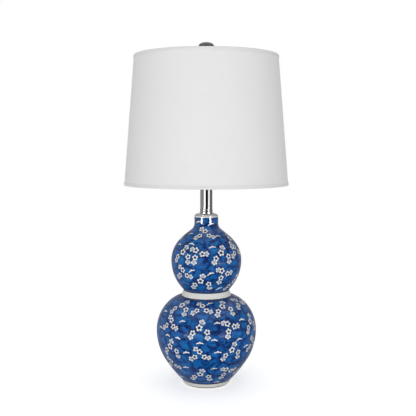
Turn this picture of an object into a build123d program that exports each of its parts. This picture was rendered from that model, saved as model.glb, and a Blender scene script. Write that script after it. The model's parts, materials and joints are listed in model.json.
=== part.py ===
"""Double gourd table lamp with a tapered fabric shade, in millimetres.

+Z is up. The origin is the middle of the felt base, on the table. The lamp's metal parts stand on
one axis, so most of them are turned. The harp stands in the YZ plane and the switch knob points to +X.
"""

import os
from math import cos, pi, radians, sin

from build123d import *

os.makedirs("parts", exist_ok=True)

# ---------------------------------------------------------------- driving dimensions
# Ceramic gourd body, from the foot up: each rise is measured from the circle below it
felt_thickness = 1.5
felt_inset = 2.0
foot_base_radius = 47.5
foot_radius = 52.2
foot_rise = 8.0
foot_round = 1.8
belly_radius = 84.4
belly_rise = 40.9
lower_bulb_radius = 101.7
lower_bulb_rise = 59.5
shoulder_radius = 81.2
shoulder_rise = 52.6
crown_radius = 49.0
crown_rise = 18.7
waist_radius = 45.4
waist_rise = 10.8
band_proud = 1.4
upper_bulb_radius = 71.2
upper_bulb_rise = 60.7
upper_shoulder_radius = 56.9
upper_shoulder_rise = 39.0
collar_radius = 40.6
collar_rise = 15.7
neck_radius = 24.3
collar_sweep_radius = 16.0
neck_rise = 36.6
lip_round = 1.2
body_wall = 6.0
neck_wall = 4.5
floor_underside = 14.0
floor_thickness = 7.0
foot_ring_width = 7.0

# Cord outlet in the back of the foot ring
outlet_height = 7.6
cord_passage_radius = 3.2
bushing_wall = 0.9
bushing_flange_radius = 5.4
bushing_flange_thickness = 1.2
outlet_face_depth = 1.4

# Rod and its fastenings
rod_radius = 4.85
rod_bore_radius = 3.3
rod_tail = 2.0
hole_clearance = 0.2
cushion_radius = 17.0
cushion_thickness = 1.5
washer_radius = 15.0
washer_thickness = 1.6
nut_across_flats = 14.3
nut_height = 4.8

# Metal neck
cap_edge_inset = 0.9
cap_edge_height = 1.2
cap_top_radius = 14.5
cap_rise = 8.4
cap_wall = 0.9
tube_radius = 12.4
tube_wall = 1.0
tube_length = 83.0
check_ring_radius = 13.1
check_ring_height = 4.6
check_bead_height = 2.0
check_waist_radius = 12.2
spigot_height = 4.0
spigot_clearance = 0.1
spigot_wall = 2.0
upper_ring_height = 3.0

# Harp and its saddle
saddle_width = 12.0
saddle_thickness = 2.0
saddle_half_span = 25.5
saddle_bend_radius = 7.0
saddle_shoulder_rise = 17.0
post_width = 3.4
post_height = 8.0
harp_wire_radius = 1.6
harp_foot_straight = 20.0
harp_half_width = 56.0
harp_widest_rise = 92.0
harp_side_radius = 120.0
harp_side_turn = 35.0
harp_top_radius = 18.0
harp_height = 206.5
eyelet_radius = 5.5
ferrule_wall = 1.1
ferrule_length = 15.0
ferrule_rim = 0.7
ferrule_rim_height = 2.0
ferrule_clearance = 0.15

# Swivel stud
swivel_shank_radius = 2.4
running_clearance = 0.06
swivel_flange_radius = 8.0
swivel_flange_thickness = 2.4
swivel_rivet_radius = 4.2
swivel_rivet_height = 1.6
stud_radius = 3.1
stud_height = 12.0

# Socket
socket_cap_radius = 17.2
socket_cap_height = 23.0
socket_cap_wall = 0.8
socket_hub_radius = 7.5
socket_hub_height = 6.0
socket_shell_wall = 0.7
socket_shell_height = 47.0
socket_shell_overlap = 4.0
socket_bead_radius = 0.9
sleeve_wall = 0.8
layer_clearance = 0.2
interior_height = 32.0
interior_rise = 7.0
terminal_flat_depth = 3.0
terminal_rise = 9.0
screw_head_radius = 3.4
screw_head_height = 2.0
screw_shank_radius = 1.6
screw_shank_length = 5.0
screw_shell_bore = 13.3
screw_shell_wall = 0.5
screw_shell_height = 23.0
contact_radius = 3.6
contact_height = 2.4
contact_leaf_radius = 6.0
contact_leaf_thickness = 0.8

# Switch
switch_rise = 27.0
shaft_radius = 2.0
shaft_inner_end = 7.0
shaft_length = 36.0
shaft_slot_clearance = 1.0
knob_radius = 6.5
knob_tip_radius = 5.2
knob_length = 15.0
knob_flutes = 12
knob_flute_radius = 1.0
knob_blind_end = 2.0

# Bulb
bulb_thread_clearance = 0.35
bulb_cap_height = 21.0
bulb_cap_wall = 0.4
insulator_height = 3.6
tip_radius = 4.4
tip_height = 2.0
globe_radius = 30.0
globe_neck_radius = 12.4
globe_neck_rise = 4.0
globe_height = 84.0
globe_wall = 0.9

# Shade
shade_bottom_radius = 164.6
shade_top_radius = 143.4
shade_height = 256.0
fabric_thickness = 0.5
liner_thickness = 0.7
trim_thickness = 0.5
trim_outer_width = 6.5
trim_inner_width = 5.0
trim_round = 0.9
ring_wire_radius = 1.6
ring_seat = 0.05
spider_recess = 11.0
hub_radius = 13.0
hub_thickness = 1.6
hub_hole_clearance = 0.3
arm_wire_radius = 1.5
arm_count = 3
arm_bend_run = 20.0
arm_bend_radius = 8.0
arm_first_angle = 90.0
arm_notch_clearance = 0.4

# Finial
finial_seat_radius = 7.0
finial_seat_height = 3.0
finial_neck_radius = 4.8
finial_neck_height = 11.7
finial_spigot_radius = 4.0
finial_spigot_height = 7.0
finial_bore_depth = 14.0
finial_bore_clearance = 0.1
knob_half_height = 12.2
knob_ball_radius = 16.4
knob_foot_radius = 6.5
knob_foot_slope = -0.35

# ---------------------------------------------------------------- heights worked out from them
foot_underside = felt_thickness
foot_band_top = foot_underside + foot_rise
belly_height = foot_band_top + belly_rise
lower_bulb_height = belly_height + lower_bulb_rise
shoulder_height = lower_bulb_height + shoulder_rise
crown_height = shoulder_height + crown_rise
waist_height = crown_height + waist_rise
upper_bulb_height = waist_height + upper_bulb_rise
upper_shoulder_height = upper_bulb_height + upper_shoulder_rise
collar_height = upper_shoulder_height + collar_rise
lip_height = collar_height + neck_rise
floor_top = floor_underside + floor_thickness
cushion_base = floor_underside - cushion_thickness
washer_base = cushion_base - washer_thickness
bottom_nut_base = washer_base - nut_height
rod_base = bottom_nut_base - rod_tail
cap_top = lip_height + cap_rise
tube_base = cap_top + check_ring_height
tube_top = tube_base + tube_length
saddle_base = tube_top + upper_ring_height
saddle_top = saddle_base + saddle_thickness
saddle_nut_top = saddle_top + nut_height
socket_base = saddle_nut_top
socket_shell_base = socket_base + socket_cap_height - socket_shell_overlap
socket_mouth = socket_shell_base + socket_shell_height
rod_top = socket_base + socket_hub_height
interior_base = socket_base + interior_rise
interior_top = interior_base + interior_height
switch_height = socket_base + switch_rise
contact_top = interior_top + contact_height
bulb_cap_base = contact_top + tip_height + insulator_height
bulb_cap_top = bulb_cap_base + bulb_cap_height
globe_top = bulb_cap_top + globe_height
shoulder_top = saddle_base + saddle_shoulder_rise
post_top = shoulder_top + post_height
flange_top = saddle_base + harp_height
flange_base = flange_top - swivel_flange_thickness
eyelet_height = flange_base - harp_wire_radius
harp_side_top = (
    eyelet_height
    - harp_side_radius * sin(radians(harp_side_turn))
    - harp_top_radius * (1 - sin(radians(harp_side_turn)))
)
hub_base = flange_top
hub_top = hub_base + hub_thickness
shade_top = hub_top + spider_recess
shade_base = shade_top - shade_height
finial_base = hub_top
knob_foot_height = finial_base + finial_seat_height + finial_neck_height

# ---------------------------------------------------------------- radii worked out from them
rod_hole_radius = rod_radius + hole_clearance
socket_shell_radius = socket_cap_radius - socket_cap_wall - layer_clearance / 2
socket_shell_bore = socket_shell_radius - socket_shell_wall
sleeve_radius = socket_shell_bore - layer_clearance
sleeve_bore = sleeve_radius - sleeve_wall
screw_shell_radius = screw_shell_bore + screw_shell_wall
interior_radius = sleeve_bore - layer_clearance
bulb_cap_radius = screw_shell_bore - bulb_thread_clearance
ferrule_bore = max(harp_wire_radius, (post_width**2 + saddle_thickness**2) ** 0.5 / 2) + ferrule_clearance
ferrule_radius = ferrule_bore + ferrule_wall
eyelet_hole_radius = swivel_shank_radius + running_clearance
shade_slope = (shade_bottom_radius - shade_top_radius) / shade_height


def shade_radius(height):
    """Outer radius of the shade's fabric at a height above the table."""
    return shade_bottom_radius - shade_slope * (height - shade_base)


def ring(base, height, outer_radius, inner_radius=0):
    """Add a plain ring, or a disc where it has no inner radius, to the part that is being built."""
    with BuildSketch(Plane.XY.offset(base)) as outline:
        Circle(outer_radius)
        if inner_radius:
            Circle(inner_radius, mode=Mode.SUBTRACT)
    extrude(outline.sketch, amount=height)


def hexagon_nut(base):
    """Build a rod nut that stands on a height, with its flats' corners turned down at both ends."""
    corner_radius = nut_across_flats / 2 / cos(pi / 6)
    corner_drop = (corner_radius - nut_across_flats / 2) / 2
    with BuildPart() as nut:
        with BuildSketch(Plane.XY.offset(base)):
            RegularPolygon(nut_across_flats / 2, 6, major_radius=False)
            Circle(rod_radius, mode=Mode.SUBTRACT)
        extrude(amount=nut_height)
        with BuildSketch(Plane.XZ):
            with BuildLine():
                Polyline(
                    (0, base),
                    (nut_across_flats / 2, base),
                    (corner_radius, base + corner_drop),
                    (corner_radius, base + nut_height - corner_drop),
                    (nut_across_flats / 2, base + nut_height),
                    (0, base + nut_height),
                    close=True,
                )
            make_face()
        revolve(axis=Axis.Z, mode=Mode.INTERSECT)
    return nut


def save(built, label):
    """Name a finished piece and write its file."""
    built.part.label = label
    export_step(built.part, f"parts/{label}.step")


# ---------------------------------------------------------------- ceramic body and its foot
# One outline runs from the foot to the lip. The bulbs are tangent arcs from their widest circles.
with BuildSketch(Plane.XZ) as gourd_outline:
    with BuildLine():
        axis_side = -2 * body_wall
        belly = TangentArc(
            (lower_bulb_radius, lower_bulb_height), (belly_radius, belly_height), tangent=(0, -1)
        )
        foot_taper = TangentArc(belly @ 1, (foot_radius, foot_band_top), tangent=belly % 1)
        shoulder = TangentArc(
            (lower_bulb_radius, lower_bulb_height), (shoulder_radius, shoulder_height), tangent=(0, 1)
        )
        crown = TangentArc(shoulder @ 1, (crown_radius, crown_height), tangent=shoulder % 1)
        Line(crown @ 1, (waist_radius, waist_height))
        TangentArc((upper_bulb_radius, upper_bulb_height), (waist_radius, waist_height), tangent=(0, -1))
        upper_half = TangentArc(
            (upper_bulb_radius, upper_bulb_height),
            (upper_shoulder_radius, upper_shoulder_height),
            tangent=(0, 1),
        )
        upper_crown = TangentArc(upper_half @ 1, (collar_radius, collar_height), tangent=upper_half % 1)
        # the crown runs on in a straight line and sweeps up into the neck
        crown_slope = (upper_crown % 1).Y / (upper_crown % 1).X
        sweep_corner = collar_height + crown_slope * (neck_radius - collar_radius)
        collar = FilletPolyline(
            (collar_radius, collar_height),
            (neck_radius, sweep_corner),
            (neck_radius, lip_height),
            radius=collar_sweep_radius,
        )
        Polyline(
            collar @ 1,
            (axis_side, lip_height),
            (axis_side, foot_underside),
            (foot_base_radius, foot_underside),
            foot_taper @ 1,
        )
    make_face()

with BuildSketch(Plane.XZ) as cavity_outline:
    add(gourd_outline.sketch_local)
    offset(amount=-body_wall, kind=Kind.INTERSECTION)
    with Locations((0, floor_top)):
        Rectangle(
            lower_bulb_radius,
            lip_height - floor_top - body_wall,
            align=(Align.MIN, Align.MIN),
            mode=Mode.INTERSECT,
        )
    with Locations((0, upper_shoulder_height)):
        Rectangle(neck_radius - neck_wall, lip_height - upper_shoulder_height, align=(Align.MIN, Align.MIN))

with BuildPart() as gourd_body:
    with BuildSketch(Plane.XZ):
        add(gourd_outline.sketch_local)
        Rectangle(lip_height, 2 * lip_height, align=(Align.MIN, Align.CENTER), mode=Mode.INTERSECT)
    revolve(axis=Axis.Z)
    # raised band round the waist, thicker below than above
    with BuildSketch(Plane.XZ):
        with BuildLine():
            Polyline(
                (waist_radius - band_proud, waist_height),
                (waist_radius, waist_height),
                (waist_radius + band_proud, waist_height - band_proud / 2),
                (crown_radius + band_proud, crown_height + band_proud / 2),
                (crown_radius, crown_height - band_proud / 4),
                (crown_radius - body_wall / 2, crown_height),
                close=True,
            )
        make_face()
    revolve(axis=Axis.Z)
    with BuildSketch(Plane.XZ):
        add(cavity_outline.sketch_local)
    revolve(axis=Axis.Z, mode=Mode.SUBTRACT)
    # recess for the rod's nut, inside the foot ring, and the rod's hole
    with BuildSketch(Plane.XY.offset(foot_underside)):
        Circle(foot_base_radius - foot_ring_width)
    extrude(amount=floor_underside - foot_underside, mode=Mode.SUBTRACT)
    with BuildSketch(Plane.XY.offset(floor_underside)):
        Circle(rod_hole_radius)
    extrude(amount=floor_thickness, mode=Mode.SUBTRACT)
    # cord outlet, with a flat seat for the bushing's flange
    outlet_face = foot_radius - outlet_face_depth
    with BuildSketch(Plane.XZ.offset(-outlet_face)):
        with Locations((0, outlet_height)):
            Circle(bushing_flange_radius + hole_clearance)
    extrude(amount=-2 * body_wall, mode=Mode.SUBTRACT)
    with BuildSketch(Plane.XZ):
        with Locations((0, outlet_height)):
            Circle(cord_passage_radius + bushing_wall + hole_clearance / 2)
    extrude(amount=-outlet_face, mode=Mode.SUBTRACT)
    fillet(gourd_body.edges().group_by(Axis.Z)[-1], lip_round)
    foot_edges = gourd_body.edges().group_by(Axis.Z)[0]
    fillet(foot_edges.sort_by(Edge.length)[-1], foot_round)
save(gourd_body, "gourd_body")

with BuildPart() as felt_base:
    with BuildSketch():
        Circle(foot_base_radius - felt_inset)
    extrude(amount=felt_thickness)
save(felt_base, "felt_base")

with BuildPart() as cord_bushing:
    bushing_inner_end = foot_base_radius - foot_ring_width - bushing_flange_thickness
    with BuildSketch(Plane.XZ.offset(-bushing_inner_end)):
        with Locations((0, outlet_height)):
            Circle(cord_passage_radius + bushing_wall)
    extrude(amount=-(outlet_face - bushing_inner_end))
    with BuildSketch(Plane.XZ.offset(-outlet_face)):
        with Locations((0, outlet_height)):
            Circle(bushing_flange_radius)
    extrude(amount=-bushing_flange_thickness)
    with BuildSketch(Plane.XZ.offset(-bushing_inner_end)):
        with Locations((0, outlet_height)):
            Circle(cord_passage_radius)
    extrude(amount=-(outlet_face + bushing_flange_thickness - bushing_inner_end), mode=Mode.SUBTRACT)
save(cord_bushing, "cord_bushing")

with BuildPart() as cushion_washer:
    ring(cushion_base, cushion_thickness, cushion_radius, rod_hole_radius)
save(cushion_washer, "cushion_washer")

with BuildPart() as bottom_washer:
    ring(washer_base, washer_thickness, washer_radius, rod_hole_radius)
save(bottom_washer, "bottom_washer")

save(hexagon_nut(bottom_nut_base), "bottom_nut")

with BuildPart() as lamp_rod:
    ring(rod_base, rod_top - rod_base, rod_radius, rod_bore_radius)
save(lamp_rod, "lamp_rod")

# ---------------------------------------------------------------- metal neck
with BuildPart() as vase_cap:
    cap_edge_radius = neck_radius - cap_edge_inset
    with BuildSketch(Plane.XZ):
        with BuildLine():
            Line((cap_edge_radius, lip_height), (cap_edge_radius, lip_height + cap_edge_height))
            ThreePointArc(
                (cap_edge_radius, lip_height + cap_edge_height),
                (
                    (cap_edge_radius + cap_top_radius) / 2 + cap_wall,
                    (lip_height + cap_edge_height + cap_top) / 2 + cap_wall,
                ),
                (cap_top_radius, cap_top),
            )
            Line((cap_top_radius, cap_top), (rod_hole_radius, cap_top))
            Line((rod_hole_radius, cap_top), (rod_hole_radius, cap_top - cap_wall))
            Line((rod_hole_radius, cap_top - cap_wall), (cap_top_radius, cap_top - cap_wall))
            ThreePointArc(
                (cap_top_radius, cap_top - cap_wall),
                (
                    (cap_edge_radius + cap_top_radius) / 2,
                    (lip_height + cap_edge_height + cap_top) / 2,
                ),
                (cap_edge_radius - cap_wall, lip_height + cap_edge_height),
            )
            Line(
                (cap_edge_radius - cap_wall, lip_height + cap_edge_height),
                (cap_edge_radius - cap_wall, lip_height),
            )
            Line((cap_edge_radius - cap_wall, lip_height), (cap_edge_radius, lip_height))
        make_face()
    revolve(axis=Axis.Z)
save(vase_cap, "vase_cap")

with BuildPart() as lower_check_ring:
    spigot_radius = tube_radius - tube_wall - spigot_clearance
    bead_top = cap_top + check_bead_height
    with BuildSketch(Plane.XZ):
        with BuildLine():
            Line((rod_hole_radius, cap_top), (check_waist_radius, cap_top))
            ThreePointArc(
                (check_waist_radius, cap_top),
                (check_ring_radius, cap_top + check_bead_height / 2),
                (check_waist_radius, bead_top),
            )
            ThreePointArc(
                (check_waist_radius, bead_top),
                (check_ring_radius - hole_clearance, (bead_top + tube_base) / 2),
                (check_waist_radius, tube_base),
            )
            Polyline(
                (check_waist_radius, tube_base),
                (spigot_radius, tube_base),
                (spigot_radius, tube_base + spigot_height),
                (spigot_radius - spigot_wall, tube_base + spigot_height),
                (spigot_radius - spigot_wall, tube_base),
                (rod_hole_radius, tube_base),
                (rod_hole_radius, cap_top),
            )
        make_face()
    revolve(axis=Axis.Z)
save(lower_check_ring, "lower_check_ring")

with BuildPart() as neck_tube:
    ring(tube_base, tube_length, tube_radius, tube_radius - tube_wall)
save(neck_tube, "neck_tube")

with BuildPart() as upper_check_ring:
    ring(tube_top, upper_ring_height, check_ring_radius, rod_hole_radius)
    fillet(upper_check_ring.edges().group_by(SortBy.LENGTH)[-1], upper_ring_height / 4)
    ring(tube_top - spigot_height, spigot_height, spigot_radius, spigot_radius - spigot_wall)
save(upper_check_ring, "upper_check_ring")

# ---------------------------------------------------------------- saddle and harp, in the YZ plane
with BuildPart() as harp_saddle:
    # a bent strip: flat under the nut, then up both sides
    with BuildSketch(Plane.YZ):
        with BuildLine():
            strip = FilletPolyline(
                (-saddle_half_span, shoulder_top),
                (-saddle_half_span, saddle_base + saddle_thickness / 2),
                (saddle_half_span, saddle_base + saddle_thickness / 2),
                (saddle_half_span, shoulder_top),
                radius=saddle_bend_radius,
            )
            offset(strip, amount=saddle_thickness / 2, side=Side.BOTH, closed=True)
        make_face()
    extrude(amount=saddle_width / 2, both=True)
    # keep only the strip between its shoulders' heights, then raise the narrow posts
    with BuildSketch(Plane.XY.offset(shoulder_top)):
        Rectangle(2 * saddle_width, 4 * saddle_half_span)
    extrude(amount=saddle_half_span, mode=Mode.SUBTRACT)
    with BuildSketch(Plane.XY.offset(shoulder_top)):
        with Locations((0, -saddle_half_span), (0, saddle_half_span)):
            Rectangle(post_width, saddle_thickness)
    extrude(amount=post_height)
    with BuildSketch(Plane.XY.offset(saddle_base)):
        Circle(rod_hole_radius)
    extrude(amount=saddle_thickness, mode=Mode.SUBTRACT)
save(harp_saddle, "harp_saddle")

save(hexagon_nut(saddle_top), "saddle_nut")

# one leg: straight foot, two equal arcs that lean out, straight side, then side and top arcs
with BuildLine() as harp_leg:
    foot = Line((saddle_half_span, post_top), (saddle_half_span, post_top + harp_foot_straight))
    side_low = (harp_half_width, saddle_base + harp_widest_rise)
    lean_out = TangentArc(foot @ 1, ((foot @ 1) + Vector(side_low)) / 2, tangent=foot % 1)
    lean_back = TangentArc(lean_out @ 1, side_low, tangent=lean_out % 1)
    side = Line(lean_back @ 1, (harp_half_width, harp_side_top))
    shoulder_arc = JernArc(side @ 1, side % 1, harp_side_radius, harp_side_turn)
    top_arc = JernArc(shoulder_arc @ 1, shoulder_arc % 1, harp_top_radius, 90 - harp_side_turn)
    Line(top_arc @ 1, (0, eyelet_height))

with BuildPart() as harp_wire:
    with BuildSketch(Plane.XY.offset(post_top)):
        with Locations((0, saddle_half_span)):
            Circle(harp_wire_radius)
    sweep(path=Plane.YZ * harp_leg.line)
    mirror(about=Plane.XZ)
    ring(eyelet_height - harp_wire_radius, 2 * harp_wire_radius, eyelet_radius)
    with BuildSketch(Plane.XY.offset(eyelet_height - 2 * harp_wire_radius)):
        Circle(eyelet_hole_radius)
    extrude(amount=4 * harp_wire_radius, mode=Mode.SUBTRACT)
save(harp_wire, "harp_wire")

for label, leg_place in (("harp_ferrule_front", -saddle_half_span), ("harp_ferrule_back", saddle_half_span)):
    with BuildPart() as harp_ferrule:
        with BuildSketch(Plane.XY.offset(shoulder_top)):
            with Locations((0, leg_place)):
                Circle(ferrule_radius + ferrule_rim)
        extrude(amount=ferrule_rim_height)
        with BuildSketch(Plane.XY.offset(shoulder_top + ferrule_rim_height)):
            with Locations((0, leg_place)):
                Circle(ferrule_radius)
        extrude(amount=ferrule_length - ferrule_rim_height)
        with BuildSketch(Plane.XY.offset(shoulder_top)):
            with Locations((0, leg_place)):
                Circle(ferrule_bore)
        extrude(amount=ferrule_length, mode=Mode.SUBTRACT)
    save(harp_ferrule, label)

with BuildPart() as harp_swivel:
    rivet_top = eyelet_height - harp_wire_radius - running_clearance
    ring(rivet_top - swivel_rivet_height, swivel_rivet_height, swivel_rivet_radius)
    ring(rivet_top, flange_base - rivet_top, swivel_shank_radius)
    ring(flange_base, swivel_flange_thickness, swivel_flange_radius)
    ring(flange_top, stud_height, stud_radius)
    chamfer(harp_swivel.edges().group_by(Axis.Z)[-1], stud_radius / 5)
save(harp_swivel, "harp_swivel")

# ---------------------------------------------------------------- socket
with BuildPart() as socket_cap:
    cup_turn = socket_base + socket_cap_height / 2
    cup_inside = socket_cap_radius - socket_cap_wall
    with BuildSketch(Plane.XZ):
        with BuildLine():
            TangentArc((socket_cap_radius, cup_turn), (socket_hub_radius, socket_base), tangent=(0, -1))
            TangentArc(
                (cup_inside, cup_turn), (socket_hub_radius, socket_base + socket_cap_wall), tangent=(0, -1)
            )
            Polyline(
                (socket_hub_radius, socket_base),
                (rod_radius, socket_base),
                (rod_radius, rod_top),
                (socket_hub_radius, rod_top),
                (socket_hub_radius, socket_base + socket_cap_wall),
            )
            Polyline(
                (cup_inside, cup_turn),
                (cup_inside, socket_base + socket_cap_height),
                (socket_cap_radius, socket_base + socket_cap_height),
                (socket_cap_radius, cup_turn),
            )
        make_face()
    revolve(axis=Axis.Z)
save(socket_cap, "socket_cap")


def shaft_notch(base):
    """Cut the notch that lets a tube slide down over the switch shaft, inside its part."""
    notch_radius = shaft_radius + shaft_slot_clearance
    with BuildSketch(Plane.YZ) as notch:
        with Locations((0, switch_height)):
            Circle(notch_radius)
        with Locations((0, base)):
            Rectangle(2 * notch_radius, switch_height - base, align=(Align.CENTER, Align.MIN))
    extrude(notch.sketch, amount=socket_cap_radius, mode=Mode.SUBTRACT)


with BuildPart() as socket_shell:
    ring(socket_shell_base, socket_shell_height, socket_shell_radius, socket_shell_bore)
    with BuildSketch(Plane.XZ):
        for bead_height in (socket_base + socket_cap_height + 2 * socket_bead_radius, socket_mouth):
            with Locations((socket_shell_radius, bead_height - socket_bead_radius)):
                Circle(socket_bead_radius)
        # only the outer half of each bead stands out of the wall
        with Locations((socket_shell_bore, socket_shell_base)):
            bead_reach = 2 * socket_bead_radius + socket_shell_wall
            Rectangle(bead_reach, socket_shell_height, align=Align.MIN, mode=Mode.INTERSECT)
    revolve(axis=Axis.Z)
    shaft_notch(socket_shell_base)
save(socket_shell, "socket_shell")

with BuildPart() as socket_sleeve:
    sleeve_base = socket_base + socket_cap_height / 2
    ring(sleeve_base, socket_mouth - sleeve_base - socket_bead_radius, sleeve_radius, sleeve_bore)
    shaft_notch(sleeve_base)
save(socket_sleeve, "socket_sleeve")

with BuildPart() as socket_interior:
    terminal_face = interior_radius - terminal_flat_depth
    terminal_height = interior_base + terminal_rise
    with BuildSketch(Plane.XY.offset(interior_base)):
        Circle(interior_radius)
    extrude(amount=interior_height)
    # flats for the two terminals, below the switch
    with BuildSketch(Plane.XY.offset(interior_base)):
        for side_sign in (-1, 1):
            with Locations((0, side_sign * interior_radius)):
                Rectangle(2 * interior_radius, 2 * terminal_flat_depth)
    extrude(amount=2 * terminal_rise, mode=Mode.SUBTRACT)
    with BuildSketch(Plane.XZ):
        with Locations((0, terminal_height)):
            Circle(screw_shank_radius)
    extrude(amount=terminal_face, both=True, mode=Mode.SUBTRACT)
    with BuildSketch(Plane.XZ):
        with Locations((0, terminal_height)):
            Circle(screw_shank_radius)
    extrude(amount=terminal_face - screw_shank_length, both=True)
    # bearing of the switch shaft
    with BuildSketch(Plane.YZ.offset(shaft_inner_end - running_clearance)):
        with Locations((0, switch_height)):
            Circle(shaft_radius + running_clearance)
    extrude(amount=interior_radius, mode=Mode.SUBTRACT)
save(socket_interior, "socket_interior")

with BuildPart() as terminal_screws:
    for side_sign in (-1, 1):
        head_plane = Plane(origin=(0, side_sign * terminal_face, terminal_height), z_dir=(0, side_sign, 0))
        with BuildSketch(head_plane):
            Circle(screw_head_radius)
            Rectangle(2 * screw_head_radius, screw_shank_radius / 2, mode=Mode.SUBTRACT)
        extrude(amount=screw_head_height)
        with BuildSketch(head_plane):
            Circle(screw_head_radius)
        extrude(amount=screw_head_height / 2)
        with BuildSketch(head_plane):
            Circle(screw_shank_radius)
        extrude(amount=-screw_shank_length)
save(terminal_screws, "terminal_screws")

with BuildPart() as screw_shell:
    ring(interior_top, screw_shell_height, screw_shell_radius, screw_shell_bore)
    ring(interior_top, screw_shell_wall, screw_shell_bore, contact_leaf_radius + terminal_flat_depth)
save(screw_shell, "screw_shell")

with BuildPart() as centre_contact:
    ring(interior_top, contact_leaf_thickness, contact_leaf_radius)
    ring(interior_top, contact_height, contact_radius)
    fillet(centre_contact.edges().group_by(Axis.Z)[-1], contact_leaf_thickness)
save(centre_contact, "centre_contact")

# ---------------------------------------------------------------- switch, along +X
with BuildPart() as switch_shaft:
    with BuildSketch(Plane.YZ.offset(shaft_inner_end)):
        with Locations((0, switch_height)):
            Circle(shaft_radius)
    extrude(amount=shaft_length)
save(switch_shaft, "switch_shaft")

with BuildPart() as switch_knob:
    knob_tip = shaft_inner_end + shaft_length + knob_blind_end
    knob_base = knob_tip - knob_length
    with BuildSketch(Plane.YZ.offset(knob_base)):
        with Locations((0, switch_height)):
            Circle(knob_radius)
    with BuildSketch(Plane.YZ.offset(knob_tip)):
        with Locations((0, switch_height)):
            Circle(knob_tip_radius)
    loft()
    with BuildSketch(Plane.YZ.offset(knob_base)):
        with Locations((0, switch_height)):
            with PolarLocations(knob_radius + knob_flute_radius / 2, knob_flutes):
                Circle(knob_flute_radius)
    extrude(amount=knob_length, mode=Mode.SUBTRACT)
    with BuildSketch(Plane.YZ.offset(knob_base)):
        with Locations((0, switch_height)):
            Circle(shaft_radius)
    extrude(amount=knob_length - knob_blind_end, mode=Mode.SUBTRACT)
save(switch_knob, "switch_knob")

# ---------------------------------------------------------------- bulb
with BuildPart() as bulb_contact:
    ring(contact_top, tip_height, tip_radius)
    fillet(bulb_contact.edges().group_by(Axis.Z)[0], tip_height / 2)
save(bulb_contact, "bulb_contact")

with BuildPart() as bulb_insulator:
    with BuildSketch(Plane.XZ):
        Polygon(
            (0, contact_top + tip_height),
            (tip_radius, contact_top + tip_height),
            (bulb_cap_radius - bulb_cap_wall, bulb_cap_base),
            (0, bulb_cap_base),
        )
    revolve(axis=Axis.Z)
save(bulb_insulator, "bulb_insulator")

with BuildPart() as bulb_cap:
    ring(bulb_cap_base, bulb_cap_height, bulb_cap_radius, globe_neck_radius)
    ring(bulb_cap_base, bulb_cap_wall, globe_neck_radius)
save(bulb_cap, "bulb_cap")


def turn_globe(inset, mode):
    """Turn the bulb's outline, drawn in by a wall, inside the part that is being built."""
    neck = globe_neck_radius - inset
    centre_height = globe_top - globe_radius
    neck_foot = bulb_cap_base + bulb_cap_wall + inset
    neck_end = bulb_cap_top + globe_neck_rise
    with BuildSketch(Plane.XZ) as outline:
        with BuildLine():
            Line((0, neck_foot), (neck, neck_foot))
            Line((neck, neck_foot), (neck, neck_end))
            Spline((neck, neck_end), (globe_radius - inset, centre_height), tangents=((0, 1), (0, 1)))
            TangentArc((globe_radius - inset, centre_height), (0, globe_top - inset), tangent=(0, 1))
            Line((0, globe_top - inset), (0, neck_foot))
        make_face()
    revolve(outline.sketch, axis=Axis.Z, mode=mode)


with BuildPart() as bulb_globe:
    turn_globe(0, Mode.ADD)
    turn_globe(globe_wall, Mode.SUBTRACT)
save(bulb_globe, "bulb_globe")


# ---------------------------------------------------------------- shade
def shade_wall(outer_inset, thickness):
    """Turn one layer of the shade's wall inside its part, short of the tape's folds."""
    low, high = shade_base + trim_thickness, shade_top - trim_thickness
    with BuildSketch(Plane.XZ) as wall:
        Polygon(
            (shade_radius(low) - outer_inset, low),
            (shade_radius(high) - outer_inset, high),
            (shade_radius(high) - outer_inset - thickness, high),
            (shade_radius(low) - outer_inset - thickness, low),
        )
    revolve(wall.sketch, axis=Axis.Z)


def edge_ring(height):
    """Turn a round wire ring that lies in the corner of the liner, inside its part."""
    with BuildSketch(Plane.XZ) as wire:
        with Locations((wire_ring_radius(height), height)):
            Circle(ring_wire_radius)
    revolve(wire.sketch, axis=Axis.Z)


def wire_ring_radius(height):
    """Radius of the middle of a wire ring that touches the liner from inside."""
    return shade_radius(height) - fabric_thickness - liner_thickness - ring_seat - ring_wire_radius


def edge_tape(edge, inward):
    """Turn the folded tape that wraps one edge of the shade; inward is -1 at the top and 1 below."""
    fold = edge - inward * trim_thickness
    outer_end = edge + inward * trim_outer_width
    inner_end = edge + inward * trim_inner_width
    pocket = fabric_thickness + liner_thickness + 2 * (ring_wire_radius + ring_seat) + ring_seat
    with BuildSketch(Plane.XZ) as tape:
        Polygon(
            (shade_radius(outer_end), outer_end),
            (shade_radius(outer_end) + trim_thickness, outer_end),
            (shade_radius(edge) + trim_thickness, fold),
            (shade_radius(edge) - pocket - trim_thickness, fold),
            (shade_radius(inner_end) - pocket - trim_thickness, inner_end),
            (shade_radius(inner_end) - pocket, inner_end),
            (shade_radius(edge) - pocket, edge),
            (shade_radius(edge), edge),
        )
        folds = tape.vertices().group_by(Axis.Y)[-1 if inward < 0 else 0]
        fillet(folds, trim_thickness * trim_round)
    revolve(tape.sketch, axis=Axis.Z)


top_ring_height = shade_top - ring_wire_radius - ring_seat
bottom_ring_height = shade_base + ring_wire_radius + ring_seat
arm_height = hub_base + arm_wire_radius
arm_start = hub_radius - arm_wire_radius - hub_thickness

with BuildLine() as arm_line:
    FilletPolyline(
        (arm_start, arm_height),
        (wire_ring_radius(top_ring_height) - arm_bend_run, arm_height),
        (wire_ring_radius(top_ring_height), top_ring_height),
        radius=arm_bend_radius,
    )

with BuildPart() as spider_arm:
    with BuildSketch(Plane.YZ.offset(arm_start)):
        with Locations((0, arm_height)):
            Circle(arm_wire_radius)
    sweep(path=Plane.XZ * arm_line.line)

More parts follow.
